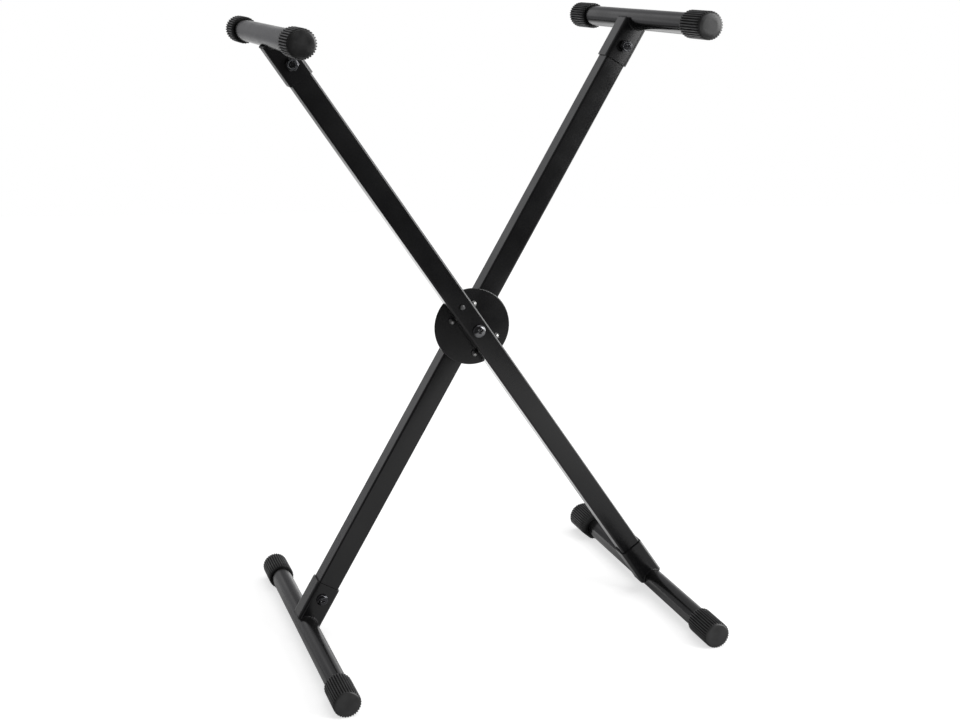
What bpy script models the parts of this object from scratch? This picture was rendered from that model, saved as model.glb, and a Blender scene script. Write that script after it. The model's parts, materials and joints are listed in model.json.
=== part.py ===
"""X-style keyboard stand: two crossed square legs on a locking pivot, with round support arms and feet.

Metres, +Z up, the arms and feet run along Y, and the front leg is on the -Y side. The origin is on the
floor, midway between the feet.
"""
import math

import bmesh
import bpy
from mathutils import Matrix, Vector

# Clearances
GAP = 0.0003
SLIDE_GAP = 0.0003

# Stance
LEG_ANGLE = math.radians(32.25)
ARM_REACH = 0.506
FOOT_REACH = 0.501
LOCK_STEP = math.radians(19.5)
LOCK_STEPS_CLOSING = 3
LOCK_STEPS_OPENING = 2

# Square legs
LEG_SIDE = 0.0318
LEG_WALL = 0.0015
LEG_CORNER = 0.0028
LEG_SHORT_OF_TUBE = 0.002

# Round arms and feet
TUBE_R = 0.015
TUBE_WALL = 0.0015
ARM_HALF = 0.236
FOOT_HALF = 0.261

# Sleeves that join the legs to the arms and feet
SLEEVE_WALL = 0.0022
SLEEVE_CORNER = 0.0050
ARM_SLEEVE_LENGTH = 0.0685
FOOT_SLEEVE_LENGTH = 0.0667
SLEEVE_BEYOND_TUBE_EDGE = 0.009
ARM_SCREW_FROM_MOUTH = 0.025
FOOT_SCREW_FROM_MOUTH = 0.0212

# Ribbed rubber end caps
CAP_R = 0.01915
CAP_LENGTH = 0.058
CAP_END_WALL = 0.004
CAP_RIBS = 32
CAP_CREST_SHARE = 0.42
CAP_FLOOR_SHARE = 0.36
CAP_GROOVE = 0.0017
CAP_DOME_INSIDE_GROOVES = 0.0003
CAP_DOME_RISE = 0.0014

# Levelling foot cap, whose outside is off the tube's centre
LEVEL_R = 0.0225
LEVEL_OFF_X = -0.0038
LEVEL_RIBS = 38
LEVEL_FLAT_FROM_AXIS = 0.0203
LEVEL_FLAT_ANGLE = math.radians(228.0)

# Lock disc and pivot
DISC_R = 0.0567
DISC_T = 0.004
DISC_EDGE = 0.0008
SPACER_R = 0.008
PIVOT_WASHER_R = 0.020
PIVOT_WASHER_T = 0.0011
PIVOT_SHANK_R = 0.005
PIVOT_HEAD_R = 0.0097
PIVOT_HEAD_H = 0.0046
PIVOT_REAR_WASHER_R = 0.012
PIVOT_REAR_WASHER_T = 0.002
PIVOT_NUT_FLATS = 0.017
PIVOT_NUT_H = 0.0095
PIVOT_END_BEYOND_NUT = 0.002

# Dowel that lines the disc up with the front leg
DOWEL_R = 0.0037
DOWEL_FROM_PIVOT = 0.0444
DOWEL_PROUD = 0.0027

# Lock pin, its housing, spring and knob
LOCK_FROM_PIVOT = 0.033
SOCKET_DEPTH = 0.0032
PIN_R = 0.004
PIN_TIP_CHAMFER = 0.0006
PIN_PARKED_CLEARANCE = 0.0005
PIN_COLLAR_R = 0.0061
PIN_COLLAR_T = 0.002
PIN_COLLAR_FROM_WALL = 0.0065
HOUSING_R = 0.0085
HOUSING_BORE_R = 0.0066
HOUSING_FLANGE_FLATS = 0.022
HOUSING_FLANGE_T = 0.004
HOUSING_END_WALL = 0.0025
SPRING_WIRE_R = 0.0006
SPRING_R = 0.0054
SPRING_TURNS = 7
KNOB_R = 0.0145
KNOB_LENGTH = 0.021
KNOB_NECK_R = 0.0085
KNOB_NECK_LENGTH = 0.006
KNOB_CLEARANCE = 0.001
KNOB_SOCKET_DEPTH = 0.014

# Screws and nuts that fix the sleeves
SCREW_R = 0.005
SCREW_HEAD_R = 0.0087
SCREW_HEAD_H = 0.0046
SCREW_END_BEYOND_NUT = 0.0022
NUT_FLATS = 0.0165
NUT_H = 0.0098
RIVET_NUT_R = 0.0068
RIVET_NUT_LENGTH = 0.012
CROSS_ARM = 0.0022
CROSS_SPAN = 0.0088
CROSS_DEPTH = 0.0024

# Facets
DISC_SIDES = 72
ROUND_SIDES = 40
SMALL_SIDES = 20
CORNER_STEPS = 3

# Sizes that follow from those above
SLEEVE_INNER = LEG_SIDE + 2 * GAP
SLEEVE_OUTER = SLEEVE_INNER + 2 * SLEEVE_WALL
WASHER_SPACE = PIVOT_WASHER_T + 2 * SLIDE_GAP
STACK = 2 * LEG_SIDE + GAP + DISC_T + WASHER_SPACE
FRONT_FACE = -STACK / 2
FRONT_LEG_Y = FRONT_FACE + LEG_SIDE / 2
BACK_LEG_Y = STACK / 2 - LEG_SIDE / 2
DISC_FRONT = FRONT_FACE + LEG_SIDE + GAP
DISC_REAR = DISC_FRONT + DISC_T
BACK_LEG_FRONT = STACK / 2 - LEG_SIDE
REAR_FACE = STACK / 2
PIVOT = Vector((0.0, 0.0, FOOT_REACH * math.cos(LEG_ANGLE) + CAP_R))
LEG_UPPER_END = ARM_REACH - TUBE_R - LEG_SHORT_OF_TUBE
LEG_LOWER_END = -FOOT_REACH + TUBE_R + LEG_SHORT_OF_TUBE
ARM_SCREW_AT = ARM_REACH - ARM_SLEEVE_LENGTH + ARM_SCREW_FROM_MOUTH
FOOT_SCREW_AT = -FOOT_REACH + FOOT_SLEEVE_LENGTH - FOOT_SCREW_FROM_MOUTH

parts = bpy.data.collections.new("keyboard_stand")
cutters = bpy.data.collections.new("cutters")


# Outlines


def circle(radius, sides, start=0.0):
    """Points of a regular polygon whose corners lie on the circle."""
    step = 2 * math.pi / sides
    return [(radius * math.cos(start + i * step), radius * math.sin(start + i * step)) for i in range(sides)]


def rounded_square(side, corner):
    """A square outline with rounded corners."""
    points = []
    inset = side / 2 - corner
    for quarter, (sx, sy) in enumerate(((1, 1), (-1, 1), (-1, -1), (1, -1))):
        for i in range(CORNER_STEPS + 1):
            angle = math.pi / 2 * (quarter + i / CORNER_STEPS)
            points.append((sx * inset + corner * math.cos(angle), sy * inset + corner * math.sin(angle)))
    return points


def ribbed(radius, ribs):
    """A round outline with flat-topped ribs, one of them pointing down."""
    pitch = 2 * math.pi / ribs
    crest = pitch * CAP_CREST_SHARE / 2
    floor = pitch * CAP_FLOOR_SHARE / 2
    points = []
    for i in range(ribs):
        middle = -math.pi / 2 + i * pitch
        for angle, r in (
            (middle - crest, radius / math.cos(crest)),
            (middle + crest, radius / math.cos(crest)),
            (middle + pitch / 2 - floor, radius - CAP_GROOVE),
            (middle + pitch / 2 + floor, radius - CAP_GROOVE),
        ):
            points.append((r * math.cos(angle), r * math.sin(angle)))
    return points


def hexagon(flats):
    """A hexagon given its size across flats."""
    return circle(flats / math.sqrt(3), 6)


# Solids


def prism(name, loops, length):
    """A mesh with the outlines as walls, from z = 0 to z = length. Inner loops become holes."""
    curve = bpy.data.curves.new(name, "CURVE")
    curve.dimensions = "2D"
    curve.fill_mode = "BOTH"
    curve.extrude = length / 2
    for loop in loops:
        spline = curve.splines.new("POLY")
        spline.points.add(len(loop) - 1)
        for point, (x, y) in zip(spline.points, loop):
            point.co = (x, y, 0.0, 1.0)
        spline.use_cyclic_u = True
    holder = bpy.data.objects.new(name, curve)
    bpy.context.scene.collection.objects.link(holder)
    graph = bpy.context.evaluated_depsgraph_get()
    mesh = bpy.data.meshes.new_from_object(holder.evaluated_get(graph))
    bpy.data.objects.remove(holder)
    bpy.data.curves.remove(curve)
    mesh.name = name
    weld(mesh)
    mesh.transform(Matrix.Translation((0.0, 0.0, length / 2)))
    return mesh


def weld(mesh):
    """Joins doubled corners and turns every face outward."""
    bm = bmesh.new()
    bm.from_mesh(mesh)
    bmesh.ops.remove_doubles(bm, verts=bm.verts, dist=0.000005)
    bmesh.ops.recalc_face_normals(bm, faces=bm.faces)
    bm.to_mesh(mesh)
    bm.free()


def turned(name, profile, sides):
    """A solid of revolution about z from (radius, z) points, the first and last of them on the axis."""
    bm = bmesh.new()
    first = bm.verts.new((0.0, 0.0, profile[0][1]))
    last = bm.verts.new((0.0, 0.0, profile[-1][1]))
    rings = []
    for radius, z in profile[1:-1]:
        rings.append([bm.verts.new((x, y, z)) for x, y in circle(radius, sides)])
    for i in range(sides):
        j = (i + 1) % sides
        bm.faces.new((first, rings[0][i], rings[0][j]))
        bm.faces.new((last, rings[-1][j], rings[-1][i]))
        for low, high in zip(rings, rings[1:]):
            bm.faces.new((low[i], high[i], high[j], low[j]))
    bmesh.ops.recalc_face_normals(bm, faces=bm.faces)
    mesh = bpy.data.meshes.new(name)
    bm.to_mesh(mesh)
    bm.free()
    return mesh


def hollow_turned(name, profile, sides):
    """A ring-shaped solid of revolution about z from a closed loop of (radius, z) points."""
    bm = bmesh.new()
    rings = []
    for radius, z in profile:
        rings.append([bm.verts.new((x, y, z)) for x, y in circle(radius, sides)])
    for i in range(sides):
        j = (i + 1) % sides
        for low, high in zip(rings, rings[1:] + rings[:1]):
            bm.faces.new((low[i], high[i], high[j], low[j]))
    bmesh.ops.recalc_face_normals(bm, faces=bm.faces)
    mesh = bpy.data.meshes.new(name)
    bm.to_mesh(mesh)
    bm.free()
    return mesh


# Places

TOWARDS_REAR = Matrix.Rotation(-math.pi / 2, 4, "X")
TOWARDS_FRONT = Matrix.Rotation(math.pi / 2, 4, "X")


def leg_frame(lean):
    """From a leg's own frame, with z up the leg and the pivot at its origin, to the stand's frame."""
    return Matrix.Translation(PIVOT) @ Matrix.Rotation(lean, 4, "Y")


FRONT_LEG = leg_frame(-LEG_ANGLE)
BACK_LEG = leg_frame(LEG_ANGLE)


def at(x, y, z):
    return Matrix.Translation((x, y, z))


def add(name, mesh, placement, colour, metallic, roughness, smooth=True, origin=None):
    """Adds one named part with its own material, its mesh moved to where it belongs."""
    origin = PIVOT if origin is None else origin
    mesh = mesh.copy()
    mesh.name = name
    mesh.transform(Matrix.Translation(-origin) @ placement)
    material = bpy.data.materials.new(name)
    material.use_nodes = True
    shader = material.node_tree.nodes["Principled BSDF"]
    shader.inputs["Base Color"].default_value = (*colour, 1.0)
    shader.inputs["Metallic"].default_value = metallic
    shader.inputs["Roughness"].default_value = roughness
    material.diffuse_color = (*colour, 1.0)
    mesh.materials.clear()
    mesh.materials.append(material)
    for face in mesh.polygons:
        face.material_index = 0
        face.use_smooth = smooth
    part = bpy.data.objects.new(name, mesh)
    part.location = origin
    parts.objects.link(part)
    return part


def cutter(name, mesh, placement):
    """A hidden solid that is cut away from parts."""
    mesh = mesh.copy()
    mesh.name = name
    mesh.transform(placement)
    tool = bpy.data.objects.new(name, mesh)
    tool.hide_render = True
    tool.display_type = "WIRE"
    cutters.objects.link(tool)
    return tool


def cut(part, *tools, operation="DIFFERENCE"):
    """Cuts the tools from the part, or joins them to it."""
    for tool in tools:
        boolean = part.modifiers.new(tool.name, "BOOLEAN")
        boolean.operation = operation
        boolean.solver = "EXACT"
        boolean.object = tool
    return part


def baked(part):
    """The part's mesh with its cuts made. The part itself and its cutters are removed."""
    bpy.context.view_layer.update()
    graph = bpy.context.evaluated_depsgraph_get()
    mesh = bpy.data.meshes.new_from_object(part.evaluated_get(graph))
    tools = [boolean.object for boolean in part.modifiers]
    for used in (part, *tools):
        bpy.data.objects.remove(used)
    weld(mesh)
    return mesh


POWDER_COAT = ((0.006, 0.006, 0.007), 0.0, 0.30)
BLACK_ZINC = ((0.08, 0.08, 0.085), 1.0, 0.35)
STEEL = ((0.62, 0.62, 0.63), 1.0, 0.28)
RUBBER = ((0.012, 0.012, 0.013), 0.0, 0.55)
NYLON = ((0.03, 0.03, 0.03), 0.0, 0.5)
SPRING_STEEL = ((0.45, 0.45, 0.46), 1.0, 0.3)


# Start with an empty scene

for old in list(bpy.data.objects):
    bpy.data.objects.remove(old)
bpy.context.scene.collection.children.link(parts)
bpy.context.scene.collection.children.link(cutters)


# Square legs with their drilled holes


def leg_hole(name, leg, along, radius, y_from, y_to):
    """A round cutter through a leg, from one depth to another."""
    hole = prism(name, [circle(radius, SMALL_SIDES)], y_to - y_from)
    return cutter(name, hole, leg @ at(0.0, y_from, along) @ TOWARDS_REAR)


leg_mesh = prism(
    "leg",
    [rounded_square(LEG_SIDE, LEG_CORNER), rounded_square(LEG_SIDE - 2 * LEG_WALL, LEG_CORNER - LEG_WALL)],
    LEG_UPPER_END - LEG_LOWER_END,
)
THROUGH = 0.010
front_rear = DISC_FRONT - GAP
front_leg_tube = add(
    "front_leg_tube", leg_mesh, FRONT_LEG @ at(0.0, FRONT_LEG_Y, LEG_LOWER_END), *POWDER_COAT, smooth=False
)
cut(
    front_leg_tube,
    leg_hole("front_pivot_hole", FRONT_LEG, 0.0, PIVOT_SHANK_R + SLIDE_GAP,
             FRONT_FACE - THROUGH, front_rear + THROUGH),
    leg_hole("front_dowel_hole", FRONT_LEG, DOWEL_FROM_PIVOT, DOWEL_R + GAP,
             FRONT_FACE - THROUGH, front_rear + THROUGH),
    leg_hole("front_arm_screw_hole", FRONT_LEG, ARM_SCREW_AT, SCREW_R + GAP,
             FRONT_FACE - THROUGH, front_rear + THROUGH),
    leg_hole("front_foot_screw_hole", FRONT_LEG, FOOT_SCREW_AT, RIVET_NUT_R + GAP,
             FRONT_LEG_Y, front_rear + THROUGH),
)
back_leg_tube = add(
    "back_leg_tube", leg_mesh, BACK_LEG @ at(0.0, BACK_LEG_Y, LEG_LOWER_END), *POWDER_COAT, smooth=False
)
cut(
    back_leg_tube,
    leg_hole("back_pivot_hole", BACK_LEG, 0.0, PIVOT_SHANK_R + SLIDE_GAP,
             BACK_LEG_FRONT - THROUGH, REAR_FACE + THROUGH),
    leg_hole("pin_hole", BACK_LEG, LOCK_FROM_PIVOT, PIN_R + SLIDE_GAP,
             BACK_LEG_FRONT - THROUGH, BACK_LEG_Y),
    leg_hole("housing_hole", BACK_LEG, LOCK_FROM_PIVOT, HOUSING_R + GAP,
             BACK_LEG_Y, REAR_FACE + THROUGH),
    leg_hole("back_arm_screw_hole", BACK_LEG, ARM_SCREW_AT, SCREW_R + GAP,
             BACK_LEG_FRONT - THROUGH, REAR_FACE + THROUGH),
    leg_hole("back_foot_screw_hole", BACK_LEG, FOOT_SCREW_AT, SCREW_R + GAP,
             BACK_LEG_FRONT - THROUGH, REAR_FACE + THROUGH),
)


# Round arms and feet

ARM_AT = ARM_REACH
FOOT_AT = -FOOT_REACH
tube_walls = [circle(TUBE_R, ROUND_SIDES), circle(TUBE_R - TUBE_WALL, ROUND_SIDES)]


def cross_tube(name, leg, along, half):
    """A round tube along Y whose ends stop short of its caps' end walls."""
    end = half - CAP_DOME_RISE - CAP_END_WALL - GAP
    tube = prism(name, tube_walls, 2 * end)
    return add(name, tube, leg @ at(0.0, -end, along) @ TOWARDS_REAR, *POWDER_COAT)


cross_tube("front_arm_tube", FRONT_LEG, ARM_AT, ARM_HALF)
cross_tube("front_foot_tube", FRONT_LEG, FOOT_AT, FOOT_HALF)
cross_tube("back_arm_tube", BACK_LEG, ARM_AT, ARM_HALF)
cross_tube("back_foot_tube", BACK_LEG, FOOT_AT, FOOT_HALF)


# Sleeves, each coped to sit on its round tube


def sleeve(name, leg, leg_y, length, tube_at, screw_at, screw_front, screw_rear):
    """A square sleeve whose mouth is its length from the tube's centre, with holes for its screw."""
    side = math.copysign(1.0, tube_at)
    mouth = side * tube_at - length
    end = side * tube_at - TUBE_R + SLEEVE_BEYOND_TUBE_EDGE
    walls = prism(
        name,
        [
            rounded_square(SLEEVE_OUTER, SLEEVE_CORNER),
            rounded_square(SLEEVE_INNER, SLEEVE_CORNER - SLEEVE_WALL),
        ],
        end - mouth,
    )
    low = mouth if side > 0 else -end
    part = add(name, walls, leg @ at(0.0, leg_y, low), *POWDER_COAT, smooth=False)
    cope = prism(name, [circle(TUBE_R + GAP, ROUND_SIDES)], 2 * SLEEVE_OUTER)
    cut(part, cutter(name + "_cope", cope, leg @ at(0.0, leg_y - SLEEVE_OUTER, tube_at) @ TOWARDS_REAR))
    reach = SLEEVE_OUTER / 2 + THROUGH
    if screw_front:
        cut(part, leg_hole(name + "_front_hole", leg, screw_at, SCREW_R + GAP, leg_y - reach, leg_y))
    if screw_rear:
        cut(part, leg_hole(name + "_rear_hole", leg, screw_at, SCREW_R + GAP, leg_y, leg_y + reach))


sleeve("front_arm_sleeve", FRONT_LEG, FRONT_LEG_Y, ARM_SLEEVE_LENGTH, ARM_AT, ARM_SCREW_AT, True, True)
sleeve("front_foot_sleeve", FRONT_LEG, FRONT_LEG_Y, FOOT_SLEEVE_LENGTH, FOOT_AT, FOOT_SCREW_AT, False, True)
sleeve("back_arm_sleeve", BACK_LEG, BACK_LEG_Y, ARM_SLEEVE_LENGTH, ARM_AT, ARM_SCREW_AT, True, True)
sleeve("back_foot_sleeve", BACK_LEG, BACK_LEG_Y, FOOT_SLEEVE_LENGTH, FOOT_AT, FOOT_SCREW_AT, True, True)


# Ribbed rubber caps, the mouth at z = 0 and the domed end up


def cap_mesh(name, outline):
    """A ribbed cap with a blind bore for the tube and a shallow domed end."""
    body_length = CAP_LENGTH - CAP_DOME_RISE
    body = add(name, prism(name, [outline], body_length), Matrix.Identity(4), *RUBBER, origin=Vector())
    bore = prism(name, [circle(TUBE_R + GAP, ROUND_SIDES)], THROUGH + body_length - CAP_END_WALL)
    dome_r = CAP_R - CAP_GROOVE - CAP_DOME_INSIDE_GROOVES
    dome = turned(
        name,
        [
            (0.0, body_length - CAP_END_WALL / 2),
            (dome_r, body_length - CAP_END_WALL / 2),
            (dome_r, body_length + CAP_DOME_RISE * 0.35),
            (dome_r * 0.95, body_length + CAP_DOME_RISE * 0.75),
            (dome_r * 0.85, body_length + CAP_DOME_RISE),
            (0.0, body_length + CAP_DOME_RISE),
        ],
        ROUND_SIDES,
    )
    cut(body, cutter(name + "_bore", bore, at(0.0, 0.0, -THROUGH)))
    cut(body, cutter(name + "_dome", dome, Matrix.Identity(4)), operation="UNION")
    return baked(body)


def add_cap(name, mesh, leg, along, y_end, towards):
    """Puts a cap on a tube's end; towards is the turn that points its domed end outward."""
    axis = leg @ Vector((0.0, 0.0, along))
    mouth = y_end + (CAP_LENGTH if towards is TOWARDS_FRONT else -CAP_LENGTH)
    return add(name, mesh, at(axis.x, mouth, axis.z) @ towards, *RUBBER, smooth=False)


plain_cap = cap_mesh("plain_cap", ribbed(CAP_R, CAP_RIBS))
for leg_name, leg, cap_places in (
    ("front", FRONT_LEG, (("arm", ARM_AT, ARM_HALF, True), ("foot", FOOT_AT, FOOT_HALF, False))),
    ("back", BACK_LEG, (("arm", ARM_AT, ARM_HALF, True), ("foot", FOOT_AT, FOOT_HALF, True))),
):
    for piece, along, half, plain_rear in cap_places:
        add_cap(f"{leg_name}_{piece}_cap_front", plain_cap, leg, along, -half, TOWARDS_FRONT)
        if plain_rear:
            add_cap(f"{leg_name}_{piece}_cap_rear", plain_cap, leg, along, half, TOWARDS_REAR)


# Levelling foot: an off-centre ribbed cap with one flat, turned by hand on the front leg's foot

level_rise = LEVEL_R - CAP_R
level_outline = [(x + LEVEL_OFF_X, y + level_rise) for x, y in ribbed(LEVEL_R, LEVEL_RIBS)]
flat_normal = Vector((math.cos(LEVEL_FLAT_ANGLE), math.sin(LEVEL_FLAT_ANGLE)))
level_outline = [
    point - flat_normal * max(0.0, point.dot(flat_normal) - LEVEL_FLAT_FROM_AXIS)
    for point in map(Vector, level_outline)
]
# The turn that faces the cap to the rear flips the outline, so it is drawn upside down here
level_outline = [(point.x, -point.y) for point in reversed(level_outline)]
level_cap = cap_mesh("levelling_cap", level_outline)
foot_axis = FRONT_LEG @ Vector((0.0, 0.0, FOOT_AT))
add(
    "levelling_foot_cap",
    level_cap,
    at(foot_axis.x, FOOT_HALF - CAP_LENGTH, foot_axis.z) @ TOWARDS_REAR,
    *RUBBER,
    smooth=False,
    origin=Vector((foot_axis.x, FOOT_HALF - CAP_LENGTH / 2, foot_axis.z)),
)


# Lock disc with its blind sockets, welded to the front leg, and its dowel


def disc_hole(name, radius, around, from_pivot, low, high):
    """A round cutter in the disc's own frame: z from its front face, turned around from the front leg."""
    hole = prism(name, [circle(radius, SMALL_SIDES)], high - low)
    return cutter(name, hole, at(from_pivot * math.sin(around), -from_pivot * math.cos(around), low))


disc = turned(
    "lock_disc",
    [
        (0.0, 0.0),
        (DISC_R - DISC_EDGE, 0.0),
        (DISC_R, DISC_EDGE),
        (DISC_R, DISC_T - DISC_EDGE),
        (DISC_R - DISC_EDGE, DISC_T),
        (0.0, DISC_T),
    ],
    DISC_SIDES,
)
blank = add("lock_disc_blank", disc, Matrix.Identity(4), *POWDER_COAT, origin=Vector())
cut(
    blank,
    disc_hole("disc_pivot_hole", PIVOT_SHANK_R + SLIDE_GAP, 0.0, 0.0, -THROUGH, DISC_T + THROUGH),
    disc_hole("disc_dowel_hole", DOWEL_R + GAP, 0.0, DOWEL_FROM_PIVOT, -THROUGH, DISC_T / 2),
)
for step in range(-LOCK_STEPS_OPENING, LOCK_STEPS_CLOSING + 1):
    around = 2 * LEG_ANGLE - step * LOCK_STEP
    name = f"lock_socket_{step + LOCK_STEPS_OPENING + 1}"
    socket_floor = DISC_T - SOCKET_DEPTH
    cut(blank, disc_hole(name, PIN_R + SLIDE_GAP, around, LOCK_FROM_PIVOT, socket_floor, DISC_T + THROUGH))
disc = baked(blank)
add("lock_disc", disc, FRONT_LEG @ at(0.0, DISC_FRONT, 0.0) @ TOWARDS_REAR, *POWDER_COAT, smooth=False)
dowel_front = FRONT_FACE - DOWEL_PROUD
dowel_rear = DISC_FRONT + DISC_T / 2 - GAP
dowel = prism("disc_dowel", [circle(DOWEL_R, SMALL_SIDES)], dowel_rear - dowel_front)
add("disc_dowel", dowel, FRONT_LEG @ at(0.0, dowel_front, DOWEL_FROM_PIVOT) @ TOWARDS_REAR, *BLACK_ZINC)


# Screws with a domed head and a cross recess


def pan_screw(name, shank_r, head_r, head_h, length):
    """A pan-head screw: its head's underside at z = 0, its shank running up z."""
    head = turned(
        name,
        [
            (0.0, -head_h),
            (head_r * 0.45, -head_h),
            (head_r * 0.78, -head_h * 0.86),
            (head_r * 0.95, -head_h * 0.56),
            (head_r, -head_h * 0.2),
            (head_r, 0.0),
            (shank_r, 0.0),
            (shank_r, length - shank_r * 0.2),
            (shank_r * 0.8, length),
            (0.0, length),
        ],
        SMALL_SIDES,
    )
    body = add(name, head, Matrix.Identity(4), *STEEL, origin=Vector())
    half_span, half_arm = CROSS_SPAN / 2, CROSS_ARM / 2
    slot = [(-half_span, -half_arm), (half_span, -half_arm), (half_span, half_arm), (-half_span, half_arm)]
    bar = prism(name, [slot], CROSS_DEPTH + THROUGH)
    for arm, turn in enumerate((0.0, math.pi / 2), start=1):
        place = at(0.0, 0.0, -head_h - THROUGH) @ Matrix.Rotation(turn, 4, "Z")
        cut(body, cutter(f"{name}_slot_{arm}", bar, place))
    return baked(body)


def nut(name, flats, height, bore_r):
    """A plain hexagon nut, its bore running the whole height."""
    return prism(name, [hexagon(flats), circle(bore_r, SMALL_SIDES)], height)


# Pivot: screw, spacers inside the legs, washer between disc and back leg, rear washer and lock nut

pivot_screw_end = (
    REAR_FACE + GAP + PIVOT_REAR_WASHER_T + GAP + PIVOT_NUT_H + PIVOT_END_BEYOND_NUT
)
pivot_screw_seat = FRONT_FACE - GAP
pivot_screw = pan_screw(
    "pivot_screw", PIVOT_SHANK_R, PIVOT_HEAD_R, PIVOT_HEAD_H, pivot_screw_end - pivot_screw_seat
)
add("pivot_screw", pivot_screw, FRONT_LEG @ at(0.0, pivot_screw_seat, 0.0) @ TOWARDS_REAR, *STEEL, smooth=False)
spacer = prism(
    "spacer",
    [circle(SPACER_R, SMALL_SIDES), circle(PIVOT_SHANK_R + SLIDE_GAP, SMALL_SIDES)],
    LEG_SIDE - 2 * LEG_WALL - 2 * GAP,
)
for name, leg, face in (
    ("front_pivot_spacer", FRONT_LEG, FRONT_FACE),
    ("back_pivot_spacer", BACK_LEG, BACK_LEG_FRONT),
):
    add(name, spacer, leg @ at(0.0, face + LEG_WALL + GAP, 0.0) @ TOWARDS_REAR, *STEEL)
pivot_washer = prism(
    "pivot_washer",
    [circle(PIVOT_WASHER_R, ROUND_SIDES), circle(PIVOT_SHANK_R + SLIDE_GAP, SMALL_SIDES)],
    PIVOT_WASHER_T,
)
add(
    "pivot_slip_washer",
    pivot_washer,
    FRONT_LEG @ at(0.0, DISC_REAR + SLIDE_GAP, 0.0) @ TOWARDS_REAR,
    *NYLON,
)
rear_washer = prism(
    "pivot_rear_washer",
    [circle(PIVOT_REAR_WASHER_R, ROUND_SIDES), circle(PIVOT_SHANK_R + SLIDE_GAP, SMALL_SIDES)],
    PIVOT_REAR_WASHER_T,
)
add("pivot_rear_washer", rear_washer, FRONT_LEG @ at(0.0, REAR_FACE + GAP, 0.0) @ TOWARDS_REAR, *STEEL)
pivot_nut_at = REAR_FACE + GAP + PIVOT_REAR_WASHER_T + GAP
pivot_nut = nut("pivot_lock_nut", PIVOT_NUT_FLATS, PIVOT_NUT_H, PIVOT_SHANK_R + GAP)
add("pivot_lock_nut", pivot_nut, FRONT_LEG @ at(0.0, pivot_nut_at, 0.0) @ TOWARDS_REAR, *STEEL, smooth=False)


# Sleeve screws and nuts

front_sleeve_face = FRONT_LEG_Y - SLEEVE_OUTER / 2
front_sleeve_rear = FRONT_LEG_Y + SLEEVE_OUTER / 2
back_sleeve_face = BACK_LEG_Y - SLEEVE_OUTER / 2
back_sleeve_rear = BACK_LEG_Y + SLEEVE_OUTER / 2
through_length = GAP + SLEEVE_OUTER + GAP + NUT_H + SCREW_END_BEYOND_NUT
through_screw = pan_screw("sleeve_screw", SCREW_R, SCREW_HEAD_R, SCREW_HEAD_H, through_length)
short_length = GAP + SLEEVE_WALL + GAP + LEG_WALL + RIVET_NUT_LENGTH * 0.8
short_screw = pan_screw("short_sleeve_screw", SCREW_R, SCREW_HEAD_R, SCREW_HEAD_H, short_length)
sleeve_nut = nut("sleeve_nut", NUT_FLATS, NUT_H, SCREW_R + GAP)
rivet_nut = prism(
    "rivet_nut", [circle(RIVET_NUT_R, SMALL_SIDES), circle(SCREW_R + GAP, SMALL_SIDES)], RIVET_NUT_LENGTH
)


def screw_in_front(leg, along, face):
    return leg @ at(0.0, face - GAP, along) @ TOWARDS_REAR


def screw_at_rear(leg, along, face):
    return leg @ at(0.0, face + GAP, along) @ TOWARDS_FRONT


for name, mesh, place in (
    ("front_arm_screw", through_screw, screw_at_rear(FRONT_LEG, ARM_SCREW_AT, front_sleeve_rear)),
    ("front_arm_nut", sleeve_nut, screw_at_rear(FRONT_LEG, ARM_SCREW_AT, front_sleeve_face - 2 * GAP)),
    ("front_foot_screw", short_screw, screw_at_rear(FRONT_LEG, FOOT_SCREW_AT, front_sleeve_rear)),
    ("front_foot_rivet_nut", rivet_nut, screw_at_rear(FRONT_LEG, FOOT_SCREW_AT, front_rear - GAP)),
    ("back_arm_screw", through_screw, screw_at_rear(BACK_LEG, ARM_SCREW_AT, back_sleeve_rear)),
    ("back_arm_nut", sleeve_nut, screw_at_rear(BACK_LEG, ARM_SCREW_AT, back_sleeve_face - 2 * GAP)),
    ("back_foot_screw", through_screw, screw_in_front(BACK_LEG, FOOT_SCREW_AT, back_sleeve_face)),
    ("back_foot_nut", sleeve_nut, screw_in_front(BACK_LEG, FOOT_SCREW_AT, back_sleeve_rear + 2 * GAP)),
):
    add(name, mesh, place, *BLACK_ZINC, smooth=False)


# Lock: housing in the back leg, pin with its collar, spring and pull knob

lock_place = BACK_LEG @ at(0.0, 0.0, LOCK_FROM_PIVOT)
housing_front = BACK_LEG_FRONT + LEG_WALL + GAP
flange_front = REAR_FACE + GAP
housing_end = flange_front + HOUSING_FLANGE_T
shoulder = housing_end - HOUSING_END_WALL
housing_profile = [
    (HOUSING_BORE_R, 0.0),
    (HOUSING_R, 0.0),
    (HOUSING_R, housing_end - housing_front),
    (PIN_R + SLIDE_GAP, housing_end - housing_front),
    (PIN_R + SLIDE_GAP, shoulder - housing_front),
    (HOUSING_BORE_R, shoulder - housing_front),
]
housing = hollow_turned("lock_housing", housing_profile, SMALL_SIDES)
lock_housing = add(
    "lock_housing", housing, lock_place @ at(0.0, housing_front, 0.0) @ TOWARDS_REAR, *BLACK_ZINC, smooth=False
)
flange = prism(
    "housing_flange",
    [hexagon(HOUSING_FLANGE_FLATS), circle(HOUSING_R * 0.9, SMALL_SIDES)],
    HOUSING_FLANGE_T,
)
cut(
    lock_housing,
    cutter("housing_flange", flange, lock_place @ at(0.0, flange_front, 0.0) @ TOWARDS_REAR),
    operation="UNION",
)
pin_tip = DISC_REAR + PIN_PARKED_CLEARANCE
PIN_TRAVEL = PIN_PARKED_CLEARANCE + SOCKET_DEPTH - GAP
collar_front = BACK_LEG_FRONT + LEG_WALL + PIN_COLLAR_FROM_WALL
collar_rear = collar_front + PIN_COLLAR_T
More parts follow.
